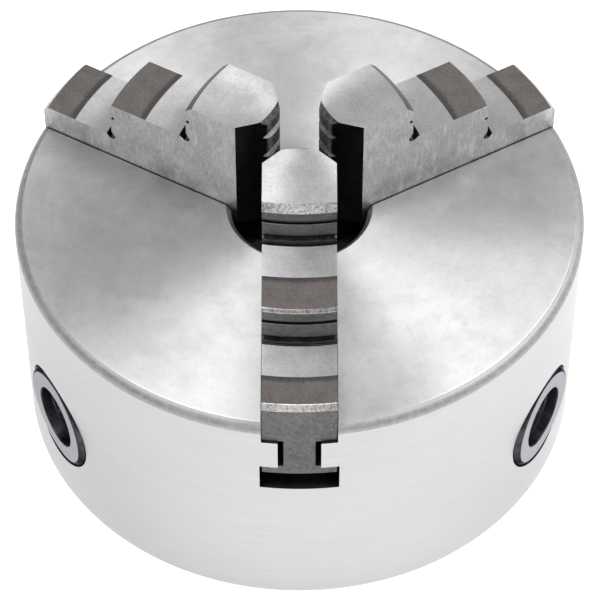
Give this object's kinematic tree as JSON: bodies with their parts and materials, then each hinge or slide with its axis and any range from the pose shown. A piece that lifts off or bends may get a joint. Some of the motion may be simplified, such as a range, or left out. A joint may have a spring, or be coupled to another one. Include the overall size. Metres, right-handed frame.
{
  "type": "lathe chuck",
  "caption": "Three-jaw self-centring scroll chuck with stepped jaws, key pinions round the rim and a short rear register.",
  "frame": {"origin": "on the chuck axis, in the rear mounting face", "axes": "+Z along the chuck axis towards the workpiece; jaw 1 points along -Y and pinion 1 along +Y"},
  "size_m": [0.125, 0.1253, 0.0837],
  "materials": {
    "body_steel": "fine turned, satin",
    "scroll_steel": "machined, oiled",
    "cover_steel": "turned",
    "jaw_steel": "ground, with brown unground lands",
    "pinion_steel": "turned, slightly heat tinted",
    "screw_dark": "black oxide"
  },
  "bodies": {
    "body": {"chuck_body": "body_steel", "back_cover": "cover_steel", "cover_screw_1": "screw_dark", "cover_screw_2": "screw_dark", "cover_screw_3": "screw_dark", "cover_screw_4": "screw_dark", "cover_screw_5": "screw_dark", "cover_screw_6": "screw_dark", "retaining_pin_1": "screw_dark", "retaining_screw_1": "screw_dark", "retaining_pin_2": "screw_dark", "retaining_screw_2": "screw_dark", "retaining_pin_3": "screw_dark", "retaining_screw_3": "screw_dark"},
    "scroll": {"scroll_plate": "scroll_steel"},
    "jaw_1": {"jaw_1": "jaw_steel"},
    "jaw_2": {"jaw_2": "jaw_steel"},
    "jaw_3": {"jaw_3": "jaw_steel"},
    "pinion_1": {"pinion_1": "pinion_steel"},
    "pinion_2": {"pinion_2": "pinion_steel"},
    "pinion_3": {"pinion_3": "pinion_steel"}
  },
  "joints": [
    {"name": "scroll_spin", "type": "hinge", "parent": "body", "child": "scroll", "pos_m": [0, 0, 0.03], "axis": [0, 0, 1], "range_deg": [-792, 270]},
    {"name": "jaw_1_slide", "type": "slide", "parent": "body", "child": "jaw_1", "axis": [0, -1, 0], "range_m": [-0.0045, 0.0132]},
    {"name": "jaw_2_slide", "type": "slide", "parent": "body", "child": "jaw_2", "axis": [0.866, 0.5, 0], "range_m": [-0.0045, 0.0132]},
    {"name": "jaw_3_slide", "type": "slide", "parent": "body", "child": "jaw_3", "axis": [-0.866, 0.5, 0], "range_m": [-0.0045, 0.0132]},
    {"name": "pinion_1_spin", "type": "hinge", "parent": "body", "child": "pinion_1", "pos_m": [0, 0.0628, 0.0225], "axis": [0, 1, 0], "range_deg": [-1621, 4753]},
    {"name": "pinion_2_spin", "type": "hinge", "parent": "body", "child": "pinion_2", "pos_m": [-0.05439, -0.0314, 0.0225], "axis": [-0.866, -0.5, 0], "range_deg": [-1621, 4753]},
    {"name": "pinion_3_spin", "type": "hinge", "parent": "body", "child": "pinion_3", "pos_m": [0.05439, -0.0314, 0.0225], "axis": [0.866, -0.5, 0], "range_deg": [-1621, 4753]}
  ],
  "couplings": [
    {"joint": "jaw_1_slide", "follows": "scroll_spin", "m_per_rad": -0.0009549},
    {"joint": "jaw_2_slide", "follows": "scroll_spin", "m_per_rad": -0.0009549},
    {"joint": "jaw_3_slide", "follows": "scroll_spin", "m_per_rad": -0.0009549},
    {"joint": "pinion_1_spin", "follows": "scroll_spin", "ratio": -6},
    {"joint": "pinion_2_spin", "follows": "scroll_spin", "ratio": -6},
    {"joint": "pinion_3_spin", "follows": "scroll_spin", "ratio": -6}
  ]
}
